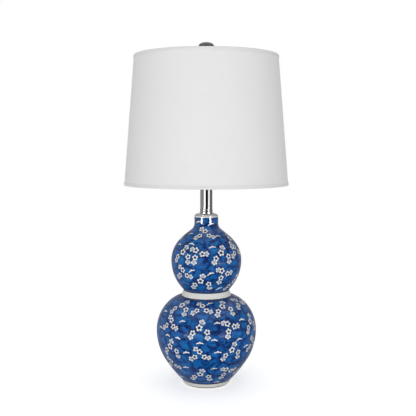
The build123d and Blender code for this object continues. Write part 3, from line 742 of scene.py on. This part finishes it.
def stroke_shape(finish, x, y):
    """(white, inner, dark) masks of a short humped stroke, with a navy touch under one end."""
    end = finish.call("MAXIMUM", 1 - x * x, 0.0) ** 0.4
    hump = finish.call("ABSOLUTE", finish.call("COSINE", x * 3.4))
    bent = y + 0.30 * x * x - 0.08
    body = finish.call("MAXIMUM", bent - end * (0.13 + 0.20 * hump), -0.17 * end - bent)
    white = finish.fading(body, -0.05, 0.04) * (finish.call("ABSOLUTE", x) < 1.0)
    touch = ((x - 0.8) ** 2 + ((y + 0.42) * 2.6) ** 2) ** 0.5
    return white, x * 0.0, finish.fading(touch, 0.45, 0.75)


def painted_motif(finish, name, wobble):
    """(white, inner, dark, is it a bud) of one layer of motifs, whichever kind each one is."""
    where = finish.node("Attribute", {"attribute_name": name}, output="Vector")
    x, y, kind = finish.parts(where)
    x = x + wobble[0]
    y = y + wobble[1]
    is_flower = kind < 1.0
    is_stroke = kind > 2.0
    is_bud = 1 - is_flower - is_stroke
    shapes = (
        (is_flower, flower_shape(finish, x, y)),
        (is_bud, bud_shape(finish, x, y)),
        (is_stroke, stroke_shape(finish, x, y)),
    )
    masks = [sum(chosen * shape[part] for chosen, shape in shapes) for part in range(3)]
    return (*masks, is_bud)


def cobalt_ground(finish, place, grain, mottle):
    """Clouds of cobalt wash, deeper towards their edges, with broken navy strokes between."""
    cloud = finish.noise(place, CLOUD, 3.0, 0.5, 0.3)
    swirl = finish.warped(finish.scaled(place, (1.0, 1.0, 1.5)), SWIRL, SWIRL_PUSH)
    edge = finish.cells(swirl, BRUSH_CELL)
    fine_edge = finish.cells(finish.moved(swirl, (7.0, 3.0, 11.0)), FINE_CELL)
    bold = finish.fading(edge, 0.04, 0.17) * finish.smooth(finish.noise(swirl, BREAK, 2.0), 0.49, 0.58)
    thin = finish.fading(edge, 0.01, 0.055)
    fine = finish.fading(fine_edge, 0.01, 0.08) * finish.smooth(mottle, 0.42, 0.58)
    depth = finish.smooth(edge + (grain - 0.5) * 0.5 + (mottle - 0.5) * 0.5, -0.06, 0.22)
    pale = finish.smooth(cloud, 0.48, 0.66) * finish.smooth(edge + (grain - 0.5) * 0.4, 0.10, 0.34)
    ground = finish.mixed(depth, DEEP, COBALT)
    ground = finish.mixed(pale * 0.7, ground, WASH)
    ground = finish.mixed(fine * 0.5, ground, DEEP)
    return finish.mixed(finish.call("MAXIMUM", bold * 0.9, thin * 0.25), ground, OUTLINE_BLUE)


def with_sprays(finish, place, mottle, ground):
    """(colour, white) of the ground once every motif and its navy shadow are painted on it."""
    wobble = [
        (finish.noise(finish.moved(place, (shift, 0.0, 0.0)), WOBBLE, 2.0) - 0.5) * 0.22
        for shift in (0.0, 40.0)
    ]
    after = painted_motif(finish, "motif_next", wobble)
    near = painted_motif(finish, "motif_near", wobble)
    halo = finish.call("MAXIMUM", near[2], after[2]) * finish.smooth(mottle, 0.34, 0.60, 0.25, 0.8)
    painted = finish.mixed(halo, ground, OUTLINE_BLUE)
    thin_paint = finish.smooth(finish.noise(place, 3.2, 2.0), 0.35, 0.75)
    ware = finish.mixed(thin_paint * 0.25, CREAM, THIN_CREAM)
    for white, inner, _, is_bud in (after, near):
        painted = finish.mixed(white, painted, ware)
        middle = finish.mixed(is_bud, HEART_BLUE, BUD_BLUE)
        painted = finish.mixed(inner * white * (1 - 0.2 * is_bud), painted, middle)
    return painted, finish.call("MAXIMUM", near[0], after[0])


def with_bands(finish, place, height, painted):
    """The plain white lip, waist and foot, with navy lines beside the waist and over the foot."""
    wander = (finish.noise(place, 14, 2.0) - 0.5) * 0.8
    level = height + wander
    foot, crown, waist = FOOT_EDGE[1], CROWN[1], WAIST[1]
    navy = finish.band(level, foot - LINE_GAP, foot + FOOT_LINE, 0.4)
    navy = navy + finish.band(level, waist + LINE_GAP, waist + WAIST_LINE, 0.4)
    navy = navy + finish.band(level, crown - WAIST_LINE, crown - LINE_GAP, 0.5) * 0.7
    plain = finish.fading(height, foot - LINE_GAP, foot + LINE_GAP)
    plain = plain + finish.band(height, crown + 0.1, waist - LINE_GAP, 0.2)
    plain = plain + finish.smooth(height + wander * 0.5, WHITE_LIP - 0.25, WHITE_LIP + 0.25)
    specks = finish.fading(finish.cells(place, 5.0, "F1"), 0.06, 0.12)
    bare_white = finish.mixed(finish.noise(place, 8, 4.0) * 0.3, CREAM, DULL_WHITE)
    bare_white = finish.mixed(specks * 0.3, bare_white, SPECK)
    return finish.mixed(plain, finish.mixed(navy, painted, OUTLINE_BLUE), bare_white)


def glaze():
    """Cobalt painting on white ware under one thick clear glaze, left bare under the foot."""
    finish = Finish("glaze")
    place = finish.place()
    _, far, height = finish.around(place)
    grain = finish.noise(place, GRAIN, 4.0, 0.65)
    mottle = finish.noise(place, MOTTLE, 4.0, 0.6)
    ground = cobalt_ground(finish, place, grain, mottle)
    painted, white = with_sprays(finish, place, mottle, ground)
    painted = with_bands(finish, place, height, painted)

    # unglazed biscuit under the foot and inside the recess
    under = finish.fading(height, FOOT_BASE[1] + 0.5, FOOT_BASE[1] + 1.0)
    inside = (far < RECESS_RADIUS + 1) * (height < FLOOR_TOP + 1)
    biscuit = finish.call("MAXIMUM", under, inside)
    painted = finish.mixed(biscuit, painted, finish.mixed(finish.noise(place, 3, 4.0), CLAY, DARK_CLAY))

    # the glaze itself, glossier where it ran thick round the neck
    ripple = finish.noise(place, 30, 2.0) * 0.5 + finish.noise(place, 5, 2.0) * 0.06
    pits = finish.fading(finish.cells(place, 9, "F1"), 0.03, 0.06)
    relief = ripple - pits * 0.15 + white * 0.05
    neck = finish.smooth(height, COLLAR[1], COLLAR[1] + 12)
    return finish.surface({
        "Base Color": painted,
        "Roughness": 0.30 - 0.16 * neck + 0.08 * mottle + 0.5 * biscuit,
        "Coat Weight": (0.22 + 0.78 * neck) * (1 - biscuit),
        "Coat Roughness": 0.03,
        "Coat IOR": 1.5,
        "IOR": 1.5,
        "Specular IOR Level": 0.32,
        "Normal": finish.bump(relief, 0.35, 0.5),
    })


# -------- metals
# Turned: (colour, roughness, wear, depth of the lathe's rings and their width in millimetres)
TURNED_METALS = {
    "satin_nickel": (colour(236, 236, 236), 0.34, 0.6, 0.010, 0.30),
    "polished_nickel": (colour(200, 200, 200), 0.03, 0.15, 0.0002, 2.0),
    "dark_nickel": (colour(84, 81, 79), 0.08, 0.4, 0.002, 1.0),
    "socket_metal": (colour(206, 184, 128), 0.20, 1.0, 0.006, 0.4),
}
# Drawn or stamped: (colour, roughness)
DRAWN_METALS = {
    "plated_steel": (colour(196, 192, 180), 0.24),
    "brass": (colour(212, 178, 96), 0.22),
}


def turned_metal(name, tone, shine, wear, depth, groove):
    """Metal turned on a lathe: fine rings round the axis, and haze from handling as wear goes to 1."""
    finish = Finish(name)
    place = finish.place()
    _, far, height = finish.around(place)
    rings = finish.noise(finish.joined(far, 0.0, height), groove, 2.0, 0.6)
    haze = finish.noise(place, 14, 3.0)
    spots = finish.smooth(finish.noise(place, 3, 3.0), 0.62, 0.80)
    return finish.surface({
        "Base Color": finish.mixed(haze * 0.4 * wear, tone, dimmed(tone, 0.78)),
        "Metallic": 1.0,
        "Roughness": shine + (haze * 0.10 + rings * 0.05 + spots * 0.06) * wear,
        "Normal": finish.bump(rings, depth, 0.5),
    })


def drawn_metal(name, tone, shine):
    """Plated wire, nuts and stampings: faint drawing lines and small dull patches."""
    finish = Finish(name)
    place = finish.place()
    lines = finish.noise(finish.scaled(place, (1.0, 1.0, 0.12)), 0.5, 3.0, 0.6)
    patches = finish.noise(place, 6, 4.0, 0.6)
    return finish.surface({
        "Base Color": finish.mixed(finish.smooth(patches, 0.45, 0.7), tone, dimmed(tone, 0.7)),
        "Metallic": 1.0,
        "Roughness": shine + patches * 0.16 + lines * 0.06,
        "Normal": finish.bump(lines, 0.02, 0.4),
    })


def aluminium():
    """Rolled bulb cap, dulled, with small scratches."""
    finish = Finish("bulb_aluminium")
    place = finish.place()
    scratch = finish.noise(finish.scaled(place, (0.2, 1.0, 2.5)), 0.9, 4.0, 0.7)
    dull = finish.noise(place, 5, 3.0)
    return finish.surface({
        "Base Color": finish.mixed(dull, colour(206, 206, 208), colour(168, 169, 172)),
        "Metallic": 1.0,
        "Roughness": 0.30 + 0.18 * dull,
        "Normal": finish.bump(scratch, 0.03, 0.4),
    })


def soldered():
    """A blob of solder, grey and slightly grained."""
    finish = Finish("solder")
    grain = finish.noise(finish.place(), 0.8, 4.0, 0.7)
    return finish.surface({
        "Base Color": finish.mixed(grain, colour(176, 176, 174), colour(128, 128, 128)),
        "Metallic": 0.9,
        "Roughness": 0.34 + 0.2 * grain,
        "Normal": finish.bump(grain, 0.08, 0.6),
    })


# -------- plastics, card, felt and rubber
# Moulded: (colour, colour where handled, roughness, width and depth of the grain in millimetres)
MOULDINGS = {
    "black_nylon": (colour(22, 22, 23), colour(40, 40, 41), 0.42, 0.8, 0.02),
    "rubber": (colour(30, 29, 28), colour(48, 46, 44), 0.72, 0.5, 0.05),
    "black_phenolic": (colour(20, 18, 17), colour(44, 38, 34), 0.26, 0.8, 0.02),
    "black_glass": (colour(12, 12, 14), colour(22, 22, 26), 0.08, 2.0, 0.01),
}


def moulded(name, tone, worn, shine, grain_size, grain_depth):
    """Moulded plastic or rubber with a fine grain and paler handled patches."""
    finish = Finish(name)
    place = finish.place()
    grain = finish.noise(place, grain_size, 3.0, 0.6)
    handled = finish.noise(place, 9, 3.0)
    return finish.surface({
        "Base Color": finish.mixed(finish.smooth(handled, 0.4, 0.75), tone, worn),
        "Roughness": shine + handled * 0.12 + grain * 0.05,
        "Normal": finish.bump(grain, grain_depth, 0.6),
    })


def card():
    """Grey-brown pressed insulating card, with fibres."""
    finish = Finish("insulating_card")
    place = finish.place()
    fibre = finish.noise(finish.warped(finish.scaled(place, (1.0, 1.0, 0.3)), 3, 0.8), 0.7, 4.0, 0.7)
    patch = finish.noise(place, 7, 3.0)
    base = finish.mixed(fibre, colour(176, 160, 134), colour(140, 122, 98))
    base = finish.mixed(patch * 0.4, base, colour(196, 184, 160))
    return finish.surface({
        "Base Color": base,
        "Roughness": 0.78 + 0.12 * fibre,
        "Normal": finish.bump(fibre, 0.06, 0.6),
    })


def felt():
    """Dark grey felt under the foot: matted fibres."""
    finish = Finish("felt")
    place = finish.place()
    fibre = finish.noise(finish.warped(place, 2.5, 1.6), 0.45, 5.0, 0.75)
    lint = finish.smooth(finish.noise(place, 1.1, 4.0, 0.7), 0.60, 0.74)
    base = finish.mixed(fibre, colour(34, 34, 35), colour(66, 66, 67))
    base = finish.mixed(lint * 0.5, base, colour(122, 122, 120))
    return finish.surface({
        "Base Color": base,
        "Roughness": 0.92 + 0.05 * fibre,
        "Sheen Weight": 0.35,
        "Sheen Roughness": 0.5,
        "Normal": finish.bump(fibre, 0.35, 0.8),
    })


# -------- bulb glass
def frosted():
    """Inside-frosted white bulb glass, unlit."""
    finish = Finish("frosted_glass")
    place = finish.place()
    _, _, height = finish.around(place)
    cloud = finish.noise(place, 18, 2.0)
    base = finish.mixed(cloud * 0.4, colour(238, 237, 232), colour(224, 225, 224))
    neck = finish.fading(height, BULB_NECK, BULB_NECK + 8)
    base = finish.mixed(neck * 0.35, base, colour(206, 205, 198))
    return finish.surface({
        "Base Color": base,
        "Roughness": 0.24 + 0.06 * cloud,
        "Subsurface Weight": 0.25,
        "Subsurface Radius": (0.01, 0.01, 0.01),
        "Coat Weight": 0.7 + cloud * 0.1,
        "Coat Roughness": 0.08,
        "Normal": finish.bump(cloud, 0.05, 0.3),
    })


# -------- shade
# Woven: (colour, darker colour for the painted shade between threads and the uneven threads' tone, depth of
# the weave, how thick its slubs, width of a thread)
WEAVES = {
    "shade_linen": (colour(240, 240, 240), colour(212, 212, 213), 0.10, 0.8, 0.62),
    "shade_tape": (colour(234, 234, 234), colour(204, 204, 205), 0.14, 0.3, 0.8),
}


def woven(name, tone, shadow, depth, slub, thread):
    """Plain weave on the piece's own unrolled map, with uneven threads and painted shade between them."""
    finish = Finish(name)
    unrolled = finish.node("UVMap", {"uv_map": "Weave"})
    along = finish.scaled(unrolled, (1000, 1000, 1000))
    x, y, _ = finish.parts(finish.warped(along, 5, 0.16))
    across = finish.call("SINE", x * (pi / thread))
    upward = finish.call("SINE", y * (pi / thread))
    over = finish.call("ABSOLUTE", across * upward)
    weft = finish.noise(finish.scaled(along, (0.03, 1.0, 1.0)), thread, 1.0)
    warp = finish.noise(finish.scaled(along, (1.0, 0.03, 1.0)), thread, 1.0)
    threads = (weft + warp) * 0.5
    thick = finish.smooth(weft, 0.60, 0.78) + finish.smooth(warp, 0.60, 0.78)
    # painted shade: the colour darkens where the threads part
    gap_shade = finish.fading(over, 0.0, 0.35)
    cloud = finish.noise(along, 60, 2.0)
    # darker colour: painted shade in the thread gaps, plus the real darker tone of uneven threads and
    # cloudy patches
    base = finish.mixed(gap_shade * 0.35 + (threads - 0.5) * 0.5 + 0.12, tone, shadow)
    base = finish.mixed(cloud * 0.12, base, shadow)
    relief = over ** 0.6 + thick * slub + threads * 0.8
    return finish.surface({
        "Base Color": base,
        "Roughness": 0.84 + 0.08 * threads,
        "Sheen Weight": 0.15,
        "Sheen Roughness": 0.4,
        "Normal": finish.bump(relief, depth, 0.6),
    })


def styrene():
    """Matt white laminate inside the shade."""
    finish = Finish("shade_styrene")
    place = finish.place()
    grain = finish.noise(place, 0.9, 2.0)
    cloud = finish.noise(place, 40, 3.0)
    return finish.surface({
        "Base Color": finish.mixed(cloud * 0.5, colour(236, 235, 230), colour(224, 222, 215)),
        "Roughness": 0.52 + 0.12 * cloud,
        "Normal": finish.bump(grain, 0.02, 0.4),
    })


def enamel():
    """White enamelled wire, where the dip has flowed unevenly."""
    finish = Finish("frame_white")
    place = finish.place()
    flow = finish.noise(place, 5, 3.0)
    return finish.surface({
        "Base Color": finish.mixed(flow * 0.5, colour(232, 231, 226), colour(214, 212, 205)),
        "Roughness": 0.30 + 0.12 * flow,
        "Coat Weight": 0.3 + 0.1 * flow,
        "Coat Roughness": 0.15,
        "Normal": finish.bump(flow, 0.06, 0.5),
    })


def wall(height, out=0.0):
    """The point of the fabric's outer face at a height, or one some way out from it."""
    share = (height - SHADE_LOW[1]) / (SHADE_HIGH[1] - SHADE_LOW[1])
    return (SHADE_LOW[0] + share * (SHADE_HIGH[0] - SHADE_LOW[0]) + out, height)


def cover():
    """The fabric cover: one thin layer round the liner, between the folds of the tapes."""
    low, high = SHADE_LOW[1] + TAPE_THICKNESS, SHADE_HIGH[1] - TAPE_THICKNESS
    outline = Outline()
    outline.start(wall(low)).line(wall(high), WALL_STEP).line(wall(high, -FABRIC_THICKNESS))
    outline.line(wall(low, -FABRIC_THICKNESS), WALL_STEP).line(wall(low))
    made = outline.spin("linen_cover", SHADE_SIDES)
    unroll(made, (SHADE_LOW[0] + SHADE_HIGH[0]) / 2)
    return belongs(made, "shade", "shade_linen", "shade_fabric")


def seam():
    """The cover's lapped join at the back: a second layer with a turned-in edge."""
    low, high = SHADE_LOW[1] + 2 * TAPE_THICKNESS, SHADE_HIGH[1] - 2 * TAPE_THICKNESS
    half = degrees(SEAM_LAP / 2 / SHADE_HIGH[0])
    outline = Outline()
    outline.start(wall(low, -SEAM_SUNK)).line(wall(low, SEAM_PROUD))
    outline.line(wall(high, SEAM_PROUD), WALL_STEP).line(wall(high, -SEAM_SUNK))
    outline.line(wall(low, -SEAM_SUNK), WALL_STEP)
    made = outline.spin("linen_seam", 6, turns=(180 - half, 180 + half))
    unroll(made, (SHADE_LOW[0] + SHADE_HIGH[0]) / 2)
    round_edges(made, 0.2, 2)
    return belongs(made, "shade", "shade_linen")


def rolled_tape(name, edge, inward_way, replaced):
    """The folded tape that wraps one edge of the shade, soft at its folds."""
    def at(rise, out):
        return wall(edge[1] + inward_way * rise, out)

    plump = TAPE_THICKNESS + 0.3
    pocket = -TAPE_POCKET
    outline = Outline()

    # outer flap, from its cut edge to the fold
    outline.start(at(TAPE_OUTSIDE, 0.02)).line(at(TAPE_OUTSIDE - 0.1, TAPE_THICKNESS - 0.32))
    outline.line(at(TAPE_OUTSIDE - 0.5, TAPE_THICKNESS))
    outline.line(at(TAPE_OUTSIDE * 0.55, plump), 1.0).line(at(1.6, plump), 1.0)
    outline.line(at(0.6, plump - 0.12)).line(at(0.05, plump - 0.45)).line(at(-0.25, 0.05))

    # over the shade's edge and round the wire
    outline.line(at(-0.3, -0.6)).line(at(-0.3, pocket + 0.8)).line(at(-0.2, pocket + 0.1))
    outline.line(at(0.2, pocket - 0.35)).line(at(0.9, pocket - 0.5))

    # inner flap, and back along the inside of the fold
    outline.line(at(TAPE_INSIDE - 0.4, pocket - TAPE_THICKNESS), 1.0)
    outline.line(at(TAPE_INSIDE, pocket - 0.25)).line(at(TAPE_INSIDE, pocket - 0.02))
    outline.line(at(TAPE_THICKNESS, pocket)).line(at(TAPE_THICKNESS, 0.02)).line(at(TAPE_OUTSIDE, 0.02))
    made = outline.spin(name, SHADE_SIDES, sharp=60)
    unroll(made, edge[0])
    return belongs(made, "shade", "shade_tape", replaced)


# -------- the studio, in metres
# The camera's place, its pitch down in degrees, and its lens by the photo's own pixels
CAMERA_DISTANCE = 1.45
CAMERA_HEIGHT = 0.484
CAMERA_SIDE = 0.0034
CAMERA_PITCH = 4.94
SENSOR = 36.0
FRAME_WIDTH = 416
FOCAL_PIXELS = 718.5

AMBIENT = 0.59
AIM_HEIGHT = 0.33
# Each soft light: (turn in degrees, distance, height, width, tall, watts)
SOFTBOXES = (
    (-22, 2.2, 0.55, 1.0, 1.2, 9.0),
    (32, 2.2, 0.12, 1.0, 1.2, 10.0),
    (-4, 2.0, 0.06, 1.4, 0.3, 5.0),
    (180, 2.4, 0.80, 1.4, 1.4, 6.0),
)

# The floor: how far it reaches, its paper, what the camera gets on top, and its fade in millimetres
FLOOR_REACH = 6.0
PAPER = (0.92, 0.92, 0.92, 1.0)
FLOOR_LIFT = 0.48
FLOOR_FADE = (140.0, 560.0)
WHITE = (1, 1, 1, 1)

# The drum that gloss mirrors: its size, and its greys by turn in degrees and height in millimetres
DRUM_RADIUS = 2.6
DRUM_TALL = 4.4
DRUM_MIDDLE = 1.0
DARK = 0.015
LEFT_GREY = 0.36
RIGHT_GREY = 0.17
BACK_GREY = 0.36
SIDE_EDGE = (58, 62)
BACK_EDGE = (110, 150)
CEILING = 1.2
CEILING_EDGE = (2300.0, 3100.0)
# Strip lights on it: (from, to, edge in degrees, brightness), and (from, to, edge in millimetres)
STRIPS = ((-49, -14, 1.5, 1.9), (34, 68, 1.5, 1.45))
STRIP_HEIGHTS = (90.0, 480.0, 60.0)
STRIP_CORES = ((-53, -37, 3, 27.0), (31, 48, 3, 27.0))
CORE_HEIGHTS = (10.0, 105.0, 30.0)


def camera():
    """The photo's camera, at the height of the shade and looking a little down."""
    data = bpy.data.cameras.new("camera")
    data.sensor_width = SENSOR
    data.lens = FOCAL_PIXELS * SENSOR / FRAME_WIDTH
    made = bpy.data.objects.new("camera", data)
    made.location = (CAMERA_SIDE, -CAMERA_DISTANCE, CAMERA_HEIGHT)
    made.rotation_euler = (radians(90 - CAMERA_PITCH), 0, 0)
    bpy.context.scene.collection.objects.link(made)
    bpy.context.scene.camera = made


def world():
    """White where it is seen straight or in a mirror or glass; softer where it lights the lamp."""
    scene = bpy.context.scene
    scene.view_settings.view_transform = "Standard"
    light = Finish("studio", "worlds")
    scene.world = light.owner
    seen = 0.0
    for ray in ("Is Camera Ray", "Is Glossy Ray", "Is Transmission Ray"):
        seen = light.call("MAXIMUM", seen, light.node("LightPath", output=ray))
    strength = AMBIENT + (1 - AMBIENT) * seen
    light.end(light.node("Background", inputs={"Color": WHITE, "Strength": strength}), "OutputWorld")


def softboxes():
    """Soft lights for the lamp's form; the studio's drum draws what its gloss mirrors."""
    for number, (turn, distance, height, width, tall, power) in enumerate(SOFTBOXES):
        data = bpy.data.lights.new(f"softbox_{number}", "AREA")
        data.shape = "RECTANGLE"
        data.size = width
        data.size_y = tall
        data.energy = power
        made = bpy.data.objects.new(f"softbox_{number}", data)
        made.visible_glossy = False
        made.location = facing(turn) * distance + Vector((0, 0, height))
        aim = Vector((0, 0, AIM_HEIGHT)) - made.location
        made.rotation_euler = aim.to_track_quat("-Z", "Y").to_euler()
        bpy.context.scene.collection.objects.link(made)


def floor():
    """A pale sheet under the lamp that melts into the white background and keeps the shadow."""
    mesh = bmesh.new()
    bmesh.ops.create_circle(mesh, cap_ends=True, segments=96, radius=FLOOR_REACH)
    made = finish_mesh(mesh, "floor")
    finish = Finish("pale_floor")
    ray = finish.node("LightPath", output="Is Camera Ray")
    paper = finish.node("BsdfDiffuse", inputs={"Color": PAPER})
    lift = finish.node("Emission", inputs={"Color": WHITE, "Strength": ray * FLOOR_LIFT})
    lit = finish.node("AddShader", inputs={0: paper, 1: lift})
    glow = finish.node("Emission", inputs={"Color": WHITE, "Strength": 1.0})
    far = finish.around(finish.place())[1]
    fade = finish.smooth(far, *FLOOR_FADE) * ray
    made.data.materials.append(finish.end(finish.node("MixShader", inputs={0: fade, 1: lit, 2: glow})))
    made.visible_glossy = False


def studio_drum():
    """A closed dark drum round the set that only reflections see, with strip lights drawn on it."""
    mesh = bmesh.new()
    bmesh.ops.create_cone(
        mesh, cap_ends=True, segments=96, radius1=DRUM_RADIUS, radius2=DRUM_RADIUS, depth=DRUM_TALL,
        matrix=Matrix.Translation((0, 0, DRUM_MIDDLE)),
    )
    made = finish_mesh(mesh, "studio_drum")
    finish = Finish("studio_drum")
    turn, _, height = finish.around(finish.place())
    turn = turn * degrees(1)
    glow = DARK + finish.smooth(turn, -SIDE_EDGE[1], -SIDE_EDGE[0], LEFT_GREY, 0.0)
    glow = glow + finish.smooth(turn, *SIDE_EDGE, 0.0, RIGHT_GREY)
    glow = glow + finish.smooth(turn, *BACK_EDGE) * (BACK_GREY - RIGHT_GREY)
    for strips, heights in ((STRIPS, STRIP_HEIGHTS), (STRIP_CORES, CORE_HEIGHTS)):
        for start, end, edge, bright in strips:
            glow = glow + finish.band(turn, start, end, edge) * finish.band(height, *heights) * bright
    glow = glow + finish.smooth(height, *CEILING_EDGE) * CEILING
    light = finish.node("Emission", inputs={"Color": WHITE, "Strength": glow})
    made.data.materials.append(finish.end(light))
    made.visible_camera = False
    made.visible_diffuse = False
    made.visible_transmission = False
    made.visible_shadow = False


# -------- the lamp
camera()
world()
softboxes()
floor()
studio_drum()

FINISHES = {
    "felt": felt(),
    "glaze": glaze(),
    "insulating_card": card(),
    "solder": soldered(),
    "bulb_aluminium": aluminium(),
    "frosted_glass": frosted(),
    "frame_white": enamel(),
    "shade_styrene": styrene(),
}
for made_by, looks in (
    (turned_metal, TURNED_METALS), (drawn_metal, DRAWN_METALS), (moulded, MOULDINGS), (woven, WEAVES),
):
    FINISHES.update({name: made_by(name, *look) for name, look in looks.items()})

paint_places(gourd())
linen = cover()
back_seam = seam()
tapes = (
    rolled_tape("tape_below", SHADE_LOW, 1, "bottom_trim"),
    rolled_tape("tape_above", SHADE_HIGH, -1, "top_trim"),
)
spun_cap()
beaded_ring()

for part in frame["record"]["subparts"]:
    dress(frame["nodes"][part["node"]], part["material_slot"])
